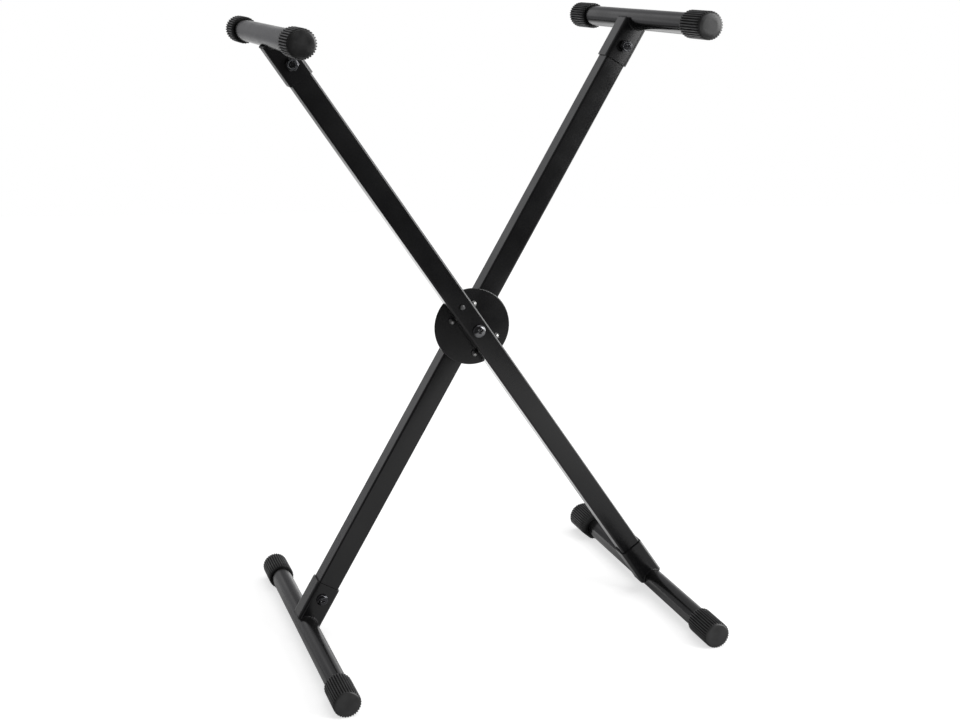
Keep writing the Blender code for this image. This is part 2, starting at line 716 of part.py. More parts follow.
knob_front = housing_end + PIN_TRAVEL + KNOB_CLEARANCE
pin_end = knob_front + KNOB_SOCKET_DEPTH - GAP
pin = turned(
    "lock_pin",
    [
        (0.0, 0.0),
        (PIN_R - PIN_TIP_CHAMFER, 0.0),
        (PIN_R, PIN_TIP_CHAMFER),
        (PIN_R, collar_front - pin_tip),
        (PIN_COLLAR_R, collar_front - pin_tip),
        (PIN_COLLAR_R, collar_rear - pin_tip),
        (PIN_R, collar_rear - pin_tip),
        (PIN_R, pin_end - pin_tip),
        (0.0, pin_end - pin_tip),
    ],
    SMALL_SIDES,
)
lock_origin = lock_place @ Vector((0.0, pin_tip, 0.0))
add(
    "lock_pin",
    pin,
    lock_place @ at(0.0, pin_tip, 0.0) @ TOWARDS_REAR,
    *STEEL,
    smooth=False,
    origin=lock_origin,
)
knob = hollow_turned(
    "lock_knob",
    [
        (PIN_R + GAP, 0.0),
        (KNOB_NECK_R, 0.0),
        (KNOB_NECK_R, KNOB_NECK_LENGTH),
        (KNOB_R * 0.93, KNOB_NECK_LENGTH + 0.0012),
        (KNOB_R, KNOB_NECK_LENGTH + 0.0040),
        (KNOB_R, KNOB_LENGTH - 0.0045),
        (KNOB_R * 0.9, KNOB_LENGTH - 0.0018),
        (KNOB_R * 0.66, KNOB_LENGTH),
        (0.0006, KNOB_LENGTH),
        (0.0006, KNOB_SOCKET_DEPTH),
        (PIN_R + GAP, KNOB_SOCKET_DEPTH),
    ],
    SMALL_SIDES,
)
add(
    "lock_knob",
    knob,
    lock_place @ at(0.0, knob_front, 0.0) @ TOWARDS_REAR,
    (0.02, 0.02, 0.02),
    0.0,
    0.35,
    smooth=False,
    origin=lock_origin,
)
spring_low = collar_rear + GAP + SPRING_WIRE_R
spring_high = shoulder - GAP - SPRING_WIRE_R
coil = bpy.data.curves.new("lock_spring", "CURVE")
coil.dimensions = "3D"
coil.bevel_depth = SPRING_WIRE_R
coil.bevel_resolution = 1
coil.use_fill_caps = True
STEPS_PER_TURN = 12
coil_points = SPRING_TURNS * STEPS_PER_TURN + 1
spline = coil.splines.new("POLY")
spline.points.add(coil_points - 1)
for i, point in enumerate(spline.points):
    angle = 2 * math.pi * i / STEPS_PER_TURN
    rise = (spring_high - spring_low) * i / (coil_points - 1)
    point.co = (SPRING_R * math.cos(angle), SPRING_R * math.sin(angle), rise, 1.0)
coil_holder = bpy.data.objects.new("lock_spring", coil)
bpy.context.scene.collection.objects.link(coil_holder)
coil_graph = bpy.context.evaluated_depsgraph_get()
coil_mesh = bpy.data.meshes.new_from_object(coil_holder.evaluated_get(coil_graph))
bpy.data.objects.remove(coil_holder)
bpy.data.curves.remove(coil)
weld(coil_mesh)
add("lock_spring", coil_mesh, lock_place @ at(0.0, spring_low, 0.0) @ TOWARDS_REAR, *SPRING_STEEL)
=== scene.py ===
import json
import math

import bmesh
import bpy
from mathutils import Matrix, Vector


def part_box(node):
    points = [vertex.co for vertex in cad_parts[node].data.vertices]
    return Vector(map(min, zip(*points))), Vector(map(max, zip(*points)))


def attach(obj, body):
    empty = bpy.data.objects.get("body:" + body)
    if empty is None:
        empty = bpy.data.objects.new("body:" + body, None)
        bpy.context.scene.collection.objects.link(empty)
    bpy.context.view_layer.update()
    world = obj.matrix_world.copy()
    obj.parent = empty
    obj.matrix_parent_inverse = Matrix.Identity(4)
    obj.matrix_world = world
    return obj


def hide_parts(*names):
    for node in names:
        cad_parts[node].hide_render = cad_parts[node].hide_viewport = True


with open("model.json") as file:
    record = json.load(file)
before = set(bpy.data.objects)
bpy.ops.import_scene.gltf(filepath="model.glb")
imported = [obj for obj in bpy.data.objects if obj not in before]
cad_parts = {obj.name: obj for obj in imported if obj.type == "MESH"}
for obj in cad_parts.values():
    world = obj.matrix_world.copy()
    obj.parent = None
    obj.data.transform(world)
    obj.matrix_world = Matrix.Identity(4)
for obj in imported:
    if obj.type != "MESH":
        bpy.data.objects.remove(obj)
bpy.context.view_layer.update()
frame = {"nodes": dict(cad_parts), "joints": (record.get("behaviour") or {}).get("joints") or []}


# Studio
# A white paper floor in front of a white backdrop, in a room with pale walls that is dark behind the
# camera. A softbox stands at the right front, a strip light at the right, and a weaker light overhead.

scene = bpy.context.scene
scene.view_settings.view_transform = "Standard"


def placed(name, data):
    """A new object for this mesh, light, curve or camera, in the scene."""
    made = bpy.data.objects.new(name, data)
    scene.collection.objects.link(made)
    return made


def feed(tree, socket, value):
    """Links an output to the socket, or sets the socket's own value."""
    if isinstance(value, bpy.types.NodeSocket):
        tree.links.new(value, socket)
    else:
        socket.default_value = value


def maths(tree, operation, *values, clamp=False):
    """A Math node; its output is returned."""
    made = tree.nodes.new("ShaderNodeMath")
    made.operation = operation
    made.use_clamp = clamp
    for socket, value in zip(made.inputs, values):
        feed(tree, socket, value)
    return made.outputs[0]


def spread(tree, value, low, high, to_low=0.0, to_high=1.0):
    """Stretches a value from one range to another and holds it there."""
    made = tree.nodes.new("ShaderNodeMapRange")
    for socket, given in zip(made.inputs, (value, low, high, to_low, to_high)):
        feed(tree, socket, given)
    return made.outputs[0]


def window(tree, value, start, full_from, full_to, end):
    """1 between the two middle values, fading to 0 at the outer two."""
    return maths(tree, "MULTIPLY", spread(tree, value, start, full_from), spread(tree, value, end, full_to))


def tint(tree, factor, first, second):
    """A mix of two colours."""
    made = tree.nodes.new("ShaderNodeMix")
    made.data_type = "RGBA"
    feed(tree, made.inputs[0], factor)
    feed(tree, made.inputs[6], first)
    feed(tree, made.inputs[7], second)
    return made.outputs[2]


yaw = math.radians(19.651)
pitch = math.radians(13.25)
roll = math.radians(1.492)
ahead = Vector((math.sin(yaw) * math.cos(pitch), math.cos(yaw) * math.cos(pitch), -math.sin(pitch)))

white = (1.0, 1.0, 1.0, 1.0)
room_light = (0.46, 0.46, 0.46, 1.0)
room_beside = (0.30, 0.30, 0.31, 1.0)
bright_wall = (0.78, 0.78, 0.79, 1.0)
strip_light = (5.0, 5.0, 5.0, 1.0)
room_behind_camera = (0.07, 0.07, 0.07, 1.0)
world = bpy.data.worlds.new("white_room")
world.use_nodes = True
scene.world = world
tree = world.node_tree
rays = tree.nodes.new("ShaderNodeLightPath")
looking = tree.nodes.new("ShaderNodeTexCoord").outputs["Generated"]
direction = tree.nodes.new("ShaderNodeSeparateXYZ")
feed(tree, direction.inputs[0], looking)
to_right, to_back, to_top = direction.outputs

# The white backdrop lies round the line of sight
towards_backdrop = tree.nodes.new("ShaderNodeVectorMath")
towards_backdrop.operation = "DOT_PRODUCT"
feed(tree, towards_backdrop.inputs[0], looking)
feed(tree, towards_backdrop.inputs[1], ahead)
backdrop_edge = math.cos(math.radians(29.0))
backdrop_middle = math.cos(math.radians(9.0))
backdrop = spread(tree, towards_backdrop.outputs["Value"], backdrop_edge, backdrop_middle)

# The bright wall is a slanting patch behind the stand on the left
wall_slant = 0.6
across_wall = maths(tree, "SUBTRACT", maths(tree, "MULTIPLY", to_top, wall_slant), to_right)
wall = maths(tree, "MULTIPLY", window(tree, across_wall, 0.26, 0.37, 0.44, 0.50),
             window(tree, to_top, -0.06, 0.08, 0.40, 0.52))
beside = tint(tree, wall, room_beside, bright_wall)
mirrored = tint(tree, spread(tree, to_back, -0.45, 0.10), room_behind_camera, beside)
mirrored = tint(tree, backdrop, mirrored, white)

# The strip light stands upright at the right
strip = maths(tree, "MULTIPLY", spread(tree, to_right, 0.82, 0.92),
              spread(tree, maths(tree, "ABSOLUTE", to_back), 0.50, 0.35))
mirrored = tint(tree, strip, mirrored, strip_light)
sharp_rays = maths(tree, "MAXIMUM", rays.outputs["Is Glossy Ray"], rays.outputs["Is Transmission Ray"])
seen = tint(tree, sharp_rays, room_light, mirrored)
seen = tint(tree, rays.outputs["Is Camera Ray"], seen, white)
feed(tree, tree.nodes["Background"].inputs["Color"], seen)

paper_pale = (0.62, 0.62, 0.62, 1.0)
paper_unlit = (0.12, 0.12, 0.12, 1.0)
pool_middle = (0.2, 1.4, 0.0)
paper = bpy.data.materials.new("white_paper")
paper.use_nodes = True
tree = paper.node_tree
shader = tree.nodes["Principled BSDF"]
shader.inputs["Roughness"].default_value = 0.9
shader.inputs["Specular IOR Level"].default_value = 0.0
shader.inputs["Emission Color"].default_value = white
rays = tree.nodes.new("ShaderNodeLightPath")
on_paper = tree.nodes.new("ShaderNodeTexCoord").outputs["Object"]
spot = tree.nodes.new("ShaderNodeSeparateXYZ")
feed(tree, spot.inputs[0], on_paper)
mirrored_ray = rays.outputs["Is Glossy Ray"]

# At the left the paper is out of the softbox's light, and behind the stand a pool of light lies on it
dim_left = maths(tree, "MULTIPLY", mirrored_ray, spread(tree, spot.outputs["X"], -0.28, -0.55))
feed(tree, shader.inputs["Base Color"], tint(tree, dim_left, paper_pale, paper_unlit))
from_pool = tree.nodes.new("ShaderNodeVectorMath")
from_pool.operation = "DISTANCE"
feed(tree, from_pool.inputs[0], on_paper)
feed(tree, from_pool.inputs[1], pool_middle)
pool = spread(tree, from_pool.outputs["Value"], 1.35, 0.70, 0.0, 1.10)
near_softbox = maths(tree, "MULTIPLY", spread(tree, spot.outputs["X"], 0.0, 0.6, 0.0, 0.22),
                     spread(tree, spot.outputs["Y"], -0.4, -0.8))
fill_mirrored = maths(tree, "MULTIPLY", mirrored_ray, maths(tree, "ADD", pool, near_softbox))
fill_seen = maths(tree, "MULTIPLY", rays.outputs["Is Camera Ray"], 0.62)
feed(tree, shader.inputs["Emission Strength"], maths(tree, "ADD", fill_mirrored, fill_seen))

floor_half = 2.4
floor_turn = Matrix.Rotation(math.radians(-24.0), 3, "Z")
floor_middle = (0.35, 1.24, 0.0)
floor_shape = bmesh.new()
bmesh.ops.create_grid(floor_shape, x_segments=2, y_segments=2, size=floor_half)
bmesh.ops.rotate(floor_shape, cent=(0.0, 0.0, 0.0), matrix=floor_turn, verts=floor_shape.verts)
bmesh.ops.translate(floor_shape, vec=floor_middle, verts=floor_shape.verts)
floor_mesh = bpy.data.meshes.new("floor")
floor_shape.to_mesh(floor_mesh)
floor_shape.free()
floor_mesh.materials.append(paper)
placed("floor", floor_mesh)

softbox_glow = 8.5
softbox_stand = Vector((2.06, -2.15, 1.40))
softbox_aim = Vector((0.1, 0.0, 0.6))
softbox = bpy.data.lights.new("softbox", "AREA")
softbox.shape = "RECTANGLE"
softbox.size = 1.3
softbox.size_y = 1.9
softbox.energy = math.pi * softbox_glow * softbox.size * softbox.size_y
softbox_at = placed("softbox", softbox)
softbox_at.location = softbox_stand
softbox_at.rotation_euler = (softbox_stand - softbox_aim).to_track_quat("Z", "Y").to_euler()

overhead = bpy.data.lights.new("overhead", "SUN")
overhead.energy = 0.75
overhead.angle = math.radians(50.0)
overhead_at = placed("overhead", overhead)
overhead_at.rotation_euler = Vector((0.25, 0.10, 1.0)).to_track_quat("Z", "Y").to_euler()

picture_width = 960.0
picture_height = 720.0
focal_length = 1566.638
sight_across = 547.64
sight_down = 315.306
camera_stand = (-0.640397, -2.121956, 0.977306)
camera = bpy.data.cameras.new("camera")
camera.sensor_width = 36.0
camera.lens = focal_length / picture_width * camera.sensor_width
camera.shift_x = (picture_width / 2 - sight_across) / picture_width
camera.shift_y = (sight_down - picture_height / 2) / picture_width
camera.clip_start = 0.05
level_right = Vector((math.cos(yaw), -math.sin(yaw), 0.0))
level_down = ahead.cross(level_right)
right = math.cos(roll) * level_right + math.sin(roll) * level_down
down = math.cos(roll) * level_down - math.sin(roll) * level_right
turn = Matrix((right, -down, -ahead)).transposed().to_4x4()
camera_at = placed("camera", camera)
camera_at.matrix_world = Matrix.Translation(camera_stand) @ turn
scene.camera = camera_at


# Legs
# Two 32 mm square steel tubes with rounded corners, sprayed with black powder that is baked to a satin
# skin. Both are drilled for the pivot, the front one also for the disc's dowel and the back one for the
# lock.

hinge = next(joint for joint in frame["joints"] if joint["name"] == "leg_hinge")
pivot = Vector(hinge["pos_m"])


def middle(node):
    low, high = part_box(node)
    return (low + high) / 2


def leg_frame(side):
    """The front or back leg's own frame: the pivot at its origin, z up the leg, y to the rear."""
    up = middle(f"{side}_arm_tube") - middle(f"{side}_foot_tube")
    up.y = 0.0
    up.normalize()
    rear = Vector((0.0, 1.0, 0.0))
    axes = Matrix((rear.cross(up), rear, up)).transposed().to_4x4()
    return Matrix.Translation(pivot) @ axes


def effect(name, inputs, output):
    """An empty node group with these inputs and one output, and its two end nodes."""
    group = bpy.data.node_groups.new(name, "ShaderNodeTree")
    for socket, value in inputs.items():
        made = group.interface.new_socket(name=socket, in_out="INPUT", socket_type="NodeSocketFloat")
        made.default_value = value
    group.interface.new_socket(name=output, in_out="OUTPUT", socket_type="NodeSocketFloat")
    return group, group.nodes.new("NodeGroupInput"), group.nodes.new("NodeGroupOutput")


def place_effect(tree, group, **values):
    """Puts a node group in a material with its own values; its output is returned."""
    made = tree.nodes.new("ShaderNodeGroup")
    made.node_tree = group
    for socket, value in values.items():
        feed(tree, made.inputs[socket], value)
    return made.outputs[0]


def grains(tree, size, detail=2.0, stretch=(1.0, 1.0, 1.0)):
    """Noise of the given grain size in metres, over the piece's own coordinates."""
    place = tree.nodes.new("ShaderNodeMapping")
    feed(tree, place.inputs["Vector"], tree.nodes.new("ShaderNodeTexCoord").outputs["Object"])
    place.inputs["Scale"].default_value = stretch
    scaled = tree.nodes.new("ShaderNodeVectorMath")
    scaled.operation = "SCALE"
    feed(tree, scaled.inputs[0], place.outputs[0])
    feed(tree, scaled.inputs["Scale"], maths(tree, "DIVIDE", 1.0, size))
    noise = tree.nodes.new("ShaderNodeTexNoise")
    noise.inputs["Scale"].default_value = 1.0
    noise.inputs["Detail"].default_value = detail
    feed(tree, noise.inputs["Vector"], scaled.outputs[0])
    return noise.outputs[0]


# Grain: a bumpy skin such as powder's orange peel or moulded rubber, in metres of height
skin_grain, ends, out = effect("skin_grain", {"Size": 0.002, "Depth": 0.00002}, "Height")
height = maths(skin_grain, "SUBTRACT", grains(skin_grain, ends.outputs["Size"]), 0.5)
feed(skin_grain, out.inputs[0], maths(skin_grain, "MULTIPLY", height, ends.outputs["Depth"]))

# Patches: soft uneven areas, from 0 to 1
soft_patches, ends, out = effect("soft_patches", {"Size": 0.05, "Low": 0.35, "High": 0.65}, "Mask")
patch = grains(soft_patches, ends.outputs["Size"], detail=4.0)
feed(soft_patches, out.inputs[0], spread(soft_patches, patch, ends.outputs["Low"], ends.outputs["High"]))

# Edges: where a corner is rubbed, broken up so that it is never an even line
rubbed_edges, ends, out = effect("rubbed_edges", {"Width": 0.0012, "Break": 0.004}, "Mask")
bevelled = rubbed_edges.nodes.new("ShaderNodeBevel")
bevelled.samples = 4
feed(rubbed_edges, bevelled.inputs["Radius"], ends.outputs["Width"])
facing = rubbed_edges.nodes.new("ShaderNodeVectorMath")
facing.operation = "DOT_PRODUCT"
feed(rubbed_edges, facing.inputs[0], bevelled.outputs[0])
feed(rubbed_edges, facing.inputs[1], rubbed_edges.nodes.new("ShaderNodeNewGeometry").outputs["Normal"])
edge = spread(rubbed_edges, facing.outputs["Value"], 0.985, 0.86)
worn = spread(rubbed_edges, grains(rubbed_edges, ends.outputs["Break"], detail=5.0), 0.42, 0.62)
feed(rubbed_edges, out.inputs[0], maths(rubbed_edges, "MULTIPLY", edge, worn))

# Dust: a thin uneven film on whatever faces up
settled_dust, ends, out = effect("settled_dust", {"Amount": 0.3}, "Mask")
upward = settled_dust.nodes.new("ShaderNodeSeparateXYZ")
feed(settled_dust, upward.inputs[0], settled_dust.nodes.new("ShaderNodeNewGeometry").outputs["Normal"])
lying = spread(settled_dust, upward.outputs["Z"], 0.1, 0.95)
specks = spread(settled_dust, grains(settled_dust, 0.0009, detail=3.0), 0.38, 0.72)
film = maths(settled_dust, "MULTIPLY", maths(settled_dust, "MULTIPLY", lying, specks), ends.outputs["Amount"])
feed(settled_dust, out.inputs[0], film)

# Hairlines: faint handling scratches along the piece
hairlines, ends, out = effect("hairlines", {"Spacing": 0.0007, "Amount": 1.0}, "Mask")
strands = grains(hairlines, ends.outputs["Spacing"], detail=1.0, stretch=(1.0, 0.03, 0.06))
thin = spread(hairlines, maths(hairlines, "ABSOLUTE", maths(hairlines, "SUBTRACT", strands, 0.5)), 0.012, 0.0)
here = spread(hairlines, grains(hairlines, 0.025, detail=2.0), 0.52, 0.68)
lines = maths(hairlines, "MULTIPLY", maths(hairlines, "MULTIPLY", thin, here), ends.outputs["Amount"])
feed(hairlines, out.inputs[0], lines)


def new_finish(name, metallic=0.0):
    """A new material with its Principled shader, both returned with the tree."""
    material = bpy.data.materials.new(name)
    material.use_nodes = True
    shader = material.node_tree.nodes["Principled BSDF"]
    shader.inputs["Metallic"].default_value = metallic
    return material, material.node_tree, shader


def raise_skin(tree, shader, *heights):
    """Bumps the shader's normal by the heights, which are in metres."""
    height = heights[0]
    for more in heights[1:]:
        height = maths(tree, "ADD", height, more)
    bump = tree.nodes.new("ShaderNodeBump")
    bump.inputs["Strength"].default_value = 1.0
    bump.inputs["Distance"].default_value = 1.0
    feed(tree, bump.inputs["Height"], height)
    feed(tree, shader.inputs["Normal"], bump.outputs[0])


def powder_coat(name, peel_size, peel_depth, roughness):
    """Black satin powder coat: orange peel, faint clouding, rubbed corners, hairlines and a little dust."""
    material, tree, shader = new_finish(name)
    clouds = place_effect(tree, soft_patches, Size=0.06)
    edges = place_effect(tree, rubbed_edges, Width=0.0016)
    dust = place_effect(tree, settled_dust, Amount=0.06)
    lines = place_effect(tree, hairlines, Spacing=0.0008, Amount=0.5)
    colour = tint(tree, clouds, (0.0042, 0.0042, 0.0046, 1.0), (0.0066, 0.0066, 0.0070, 1.0))
    colour = tint(tree, maths(tree, "MULTIPLY", edges, 0.25), colour, (0.06, 0.06, 0.06, 1.0))
    colour = tint(tree, maths(tree, "MULTIPLY", lines, 0.15), colour, (0.08, 0.08, 0.08, 1.0))
    colour = tint(tree, dust, colour, (0.20, 0.195, 0.18, 1.0))
    feed(tree, shader.inputs["Base Color"], colour)
    rough = spread(tree, clouds, 0.0, 1.0, roughness - 0.03, roughness + 0.04)
    rough = maths(tree, "ADD", rough, maths(tree, "MULTIPLY", dust, 1.2))
    rough = maths(tree, "SUBTRACT", rough, maths(tree, "MULTIPLY", edges, 0.10), clamp=True)
    feed(tree, shader.inputs["Roughness"], rough)
    peel = place_effect(tree, skin_grain, Size=peel_size, Depth=peel_depth)
    pits = place_effect(tree, skin_grain, Size=peel_size * 0.22, Depth=peel_depth * 0.16)
    raise_skin(tree, shader, peel, pits)
    return material


def held(name, shape):
    """An object that holds the shape."""
    mesh = bpy.data.meshes.new(name)
    shape.to_mesh(mesh)
    shape.free()
    return placed(name, mesh)


def scrap(blank):
    """Throws the object away with its mesh."""
    mesh = blank.data
    bpy.data.objects.remove(blank)
    bpy.data.meshes.remove(mesh)


def worked(shape, kind, **settings):
    """The shape after one of Blender's modifiers has worked on it."""
    blank = held("blank", shape)
    tool = blank.modifiers.new(kind, kind)
    for setting, value in settings.items():
        setattr(tool, setting, value)
    bpy.context.view_layer.update()
    result = bmesh.new()
    result.from_object(blank, bpy.context.evaluated_depsgraph_get())
    scrap(blank)
    return result


def carved(shape, cutter, operation="DIFFERENCE"):
    """The shape with the cutter taken away from it, joined to it, or laid over it."""
    tool = held("cutter", cutter)
    result = worked(shape, "BOOLEAN", operation=operation, solver="EXACT", object=tool)
    scrap(tool)
    return result


def moved(shape, matrix):
    """The same shape in another place."""
    bmesh.ops.transform(shape, matrix=matrix, verts=shape.verts)
    return shape


def pulled_up(shape, height):
    """The flat shape pulled up z into a solid."""
    raised = bmesh.ops.extrude_face_region(shape, geom=shape.faces[:])["geom"]
    top = [part for part in raised if isinstance(part, bmesh.types.BMVert)]
    bmesh.ops.translate(shape, vec=(0.0, 0.0, height), verts=top)
    bmesh.ops.recalc_face_normals(shape, faces=shape.faces)
    return shape


def rod(radius, low, high, sides=64):
    """A solid round rod along z."""
    shape = bmesh.new()
    bmesh.ops.create_circle(shape, cap_ends=True, segments=sides, radius=radius)
    bmesh.ops.translate(shape, vec=(0.0, 0.0, low), verts=shape.verts)
    return pulled_up(shape, high - low)


def rounded_square(side, corner, steps, cuts):
    """A flat square face across z with rounded corners, its straight sides cut into short edges."""
    shape = bmesh.new()
    bmesh.ops.create_circle(shape, cap_ends=True, segments=4, radius=side / math.sqrt(2.0))
    bmesh.ops.rotate(shape, cent=(0.0, 0.0, 0.0), matrix=Matrix.Rotation(math.pi / 4, 3, "Z"),
                     verts=shape.verts)
    bmesh.ops.bevel(shape, geom=shape.verts[:], offset=corner, offset_type="OFFSET", affect="VERTICES",
                    segments=steps, profile=0.5, material=-1)
    straight = [edge for edge in shape.edges if edge.calc_length() > side / 2]
    bmesh.ops.subdivide_edges(shape, edges=straight, cuts=cuts)
    return shape


def square_tube(side, corner, wall, low, high, crown):
    """A square tube along z: rounded corners, open ends, and a front and rear that bulge by the crown."""
    flat_side = side - 2 * crown
    straight_half = side / 2 - corner
    shape = rounded_square(flat_side, corner, steps=8, cuts=9)
    bmesh.ops.scale(shape, vec=(side / flat_side, 1.0, 1.0), verts=shape.verts)
    for vert in shape.verts:
        if abs(vert.co.y) > flat_side / 2 - 0.00001:
            bulge = crown * max(0.0, 1.0 - (vert.co.x / straight_half) ** 2)
            vert.co.y += math.copysign(bulge, vert.co.y)
    bmesh.ops.translate(shape, vec=(0.0, 0.0, low), verts=shape.verts)
    pulled_up(shape, high - low)
    ends = [face for face in shape.faces if abs(face.normal.z) > 0.9]
    bmesh.ops.delete(shape, geom=ends, context="FACES_ONLY")
    return worked(shape, "SOLIDIFY", thickness=wall, offset=-1.0, use_even_offset=True)


to_rear = Matrix.Rotation(-math.pi / 2, 4, "X")
to_front = Matrix.Rotation(math.pi / 2, 4, "X")


def at(x, y, z):
    return Matrix.Translation((x, y, z))


def fit(name, shape, place, body, slot, material, *nodes, edge=0.0003, keep_under=30.0):
    """Makes the shape a piece in its place that rides on its body and stands for its nodes.

    Edges sharper than keep_under degrees are rounded by the edge's width, or stay sharp where it is 0.
    """
    moved(shape, place)
    bmesh.ops.remove_doubles(shape, verts=shape.verts, dist=0.000001)
    bmesh.ops.recalc_face_normals(shape, faces=shape.faces)
    piece = held(name, shape)
    mesh = piece.data
    mesh.materials.append(material)
    for face in mesh.polygons:
        face.use_smooth = True
        face.material_index = 0
    if edge:
        soften = piece.modifiers.new("soft_edges", "BEVEL")
        soften.width = edge
        soften.segments = 2
        soften.limit_method = "ANGLE"
        soften.angle_limit = math.radians(keep_under)
        flatten = piece.modifiers.new("flat_faces", "WEIGHTED_NORMAL")
        flatten.weight = 90
    else:
        mesh.set_sharp_from_angle(angle=math.radians(keep_under))
    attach(piece, body)
    if nodes:
        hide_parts(*nodes)


front = leg_frame("front")
back = leg_frame("back")
front_y = middle("front_leg_tube").y
back_y = middle("back_leg_tube").y
low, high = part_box("front_leg_tube")
leg_side = high.y - low.y
leg_corner = 0.0028
leg_wall = 0.0015
leg_bulge = 0.00026
leg_low = -0.484
leg_high = 0.489
pivot_hole = 0.0053
dowel_hole = 0.0040
dowel_height = 0.0444
housing_hole = 0.0088
pin_hole = 0.0043
lock_height = 0.033
past_leg = 0.04
leg_coat = powder_coat("leg_powder_coat", 0.0022, 0.000012, 0.20)


def drilled_leg(side, leg_y, *drills):
    """A leg with holes, each given by its radius, its reach from front to rear and its height."""
    shape = square_tube(leg_side, leg_corner, leg_wall, leg_low, leg_high, leg_bulge)
    for radius, low, high, height in drills:
        shape = carved(shape, moved(rod(radius, low, high, 48), at(0.0, 0.0, height) @ to_rear))
    fit(f"{side}_leg", shape, leg_frame(side) @ at(0.0, leg_y, 0.0), f"{side}_leg", "powder_coated_steel",
        leg_coat, f"{side}_leg_tube")


drilled_leg("front", front_y, (dowel_hole, -leg_side / 2 - 0.001, -leg_side / 2 + 0.012, dowel_height),
            (pivot_hole, -past_leg, past_leg, 0.0))
drilled_leg("back", back_y, (pivot_hole, -past_leg, past_leg, 0.0),
            (housing_hole, 0.0, past_leg, lock_height), (pin_hole, -past_leg, 0.001, lock_height))


# Arms and feet
# Four 30 mm round steel tubes, powder coated like the legs. They lie across the legs' ends, the upper two
# carry the keyboard and the lower two stand on the floor.

tube_radius = 0.015
tube_wall = 0.0015
tube_coat = powder_coat("tube_powder_coat", 0.0020, 0.000011, 0.18)


def round_tube(radius, wall, low, high, sides=96):
    """A round tube along z with open ends."""
    shape = bmesh.new()
    bmesh.ops.create_circle(shape, cap_ends=False, segments=sides, radius=radius)
    bmesh.ops.translate(shape, vec=(0.0, 0.0, low), verts=shape.verts)
    raised = bmesh.ops.extrude_edge_only(shape, edges=shape.edges[:])["geom"]
    top = [part for part in raised if isinstance(part, bmesh.types.BMVert)]
    bmesh.ops.translate(shape, vec=(0.0, 0.0, high - low), verts=top)
    bmesh.ops.recalc_face_normals(shape, faces=shape.faces)
    return worked(shape, "SOLIDIFY", thickness=wall, offset=-1.0)


for side in ("front", "back"):
    for part in ("arm", "foot"):
        node = f"{side}_{part}_tube"
        low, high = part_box(node)
        centre = (low + high) / 2
        shape = round_tube(tube_radius, tube_wall, low.y, high.y)
        fit(f"{side}_{part}", shape, at(centre.x, 0.0, centre.z) @ to_rear, f"{side}_leg",
            "powder_coated_steel", tube_coat, node)


# Sleeves
# Short square sockets of 2.2 mm steel that each leg's end is pushed into. Their outer end is cut to the
# round tube's curve and welded to it all round before both are powder coated.

low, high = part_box("front_arm_sleeve")
sleeve_side = high.y - low.y
sleeve_corner = 0.0050
sleeve_wall = 0.0022
sleeve_bulge = 0.00050
sleeve_reach = {"arm": 0.0685, "foot": 0.0667}
tube_at = {"arm": 0.506, "foot": -0.501}
sleeve_end = 0.006
cope_gap = 0.0003
weld_inset = 0.0014
weld_corner = 0.0045
weld_size = 0.0017
weld_ripple = 0.0019
weld_coat = powder_coat("weld_powder_coat", 0.0013, 0.000030, 0.24)


def bead_loop(points, size, ripple):
    """A closed weld bead along the points, its surface in overlapping ripples."""
    path = bpy.data.curves.new("bead", "CURVE")
    path.dimensions = "3D"
    path.bevel_depth = size
    path.bevel_resolution = 5
    line = path.splines.new("POLY")
    line.points.add(len(points) - 1)
    line.use_cyclic_u = True
    run = 0.0
    for i, point in enumerate(points):
        line.points[i].co = (*point, 1.0)
        swell = 0.16 * math.sqrt((run / ripple) % 1.0)
        unsteady_hand = 0.05 * math.sin(run * 310.0)
        line.points[i].radius = 0.90 + swell + unsteady_hand
        run += (Vector(points[(i + 1) % len(points)]) - Vector(point)).length
    holder = placed("bead", path)
    bpy.context.view_layer.update()
    mesh = bpy.data.meshes.new_from_object(holder.evaluated_get(bpy.context.evaluated_depsgraph_get()))
    shape = bmesh.new()
    shape.from_mesh(mesh)
    bpy.data.objects.remove(holder)
    bpy.data.curves.remove(path)
    bpy.data.meshes.remove(mesh)
    return shape


def weld_path(half, corner, along, way):
    """Points round the sleeve's outline, laid on the tube's surface and down its sides a little."""
    least_drop = 0.0058
    above_tube = 0.0004
    outline = rounded_square(2 * half, corner, steps=6, cuts=58)
    outline.faces.ensure_lookup_table()
    ring = [loop.vert.co.copy() for loop in outline.faces[0].loops]
    outline.free()
    points = []
    for spot in ring:
        drop = math.sqrt(max(tube_radius**2 - spot.x**2, least_drop**2))
        points.append((spot.x, spot.y, along - way * (drop + above_tube)))
    return points


for side, place, leg_y in (("front", front, front_y), ("back", back, back_y)):
    for part in ("arm", "foot"):
        way = 1.0 if part == "arm" else -1.0
        mouth = tube_at[part] - way * sleeve_reach[part]
        end = tube_at[part] - way * sleeve_end
        shape = square_tube(sleeve_side, sleeve_corner, sleeve_wall, min(mouth, end), max(mouth, end),
                            sleeve_bulge)
        cope = moved(rod(tube_radius + cope_gap, -0.03, 0.03, 96), at(0.0, 0.0, tube_at[part]) @ to_rear)
        shape = carved(shape, cope)
        centre = place @ at(0.0, leg_y, 0.0)
        fit(f"{side}_{part}_socket", shape, centre, f"{side}_leg", "powder_coated_steel", leg_coat,
            f"{side}_{part}_sleeve", edge=0.00035)
        line = weld_path(sleeve_side / 2 - weld_inset, weld_corner, tube_at[part], way)
        fit(f"{side}_{part}_weld", bead_loop(line, weld_size, weld_ripple), centre, f"{side}_leg",
            "powder_coated_steel", weld_coat, edge=0.0)


# Sleeve screws and nuts
# Each sleeve is held to its leg by an M10 pan-head screw with a cross recess, zinc plated and passivated
# black. Three go right through to a lock nut with a nylon ring, the fourth into a nut riveted in the leg.


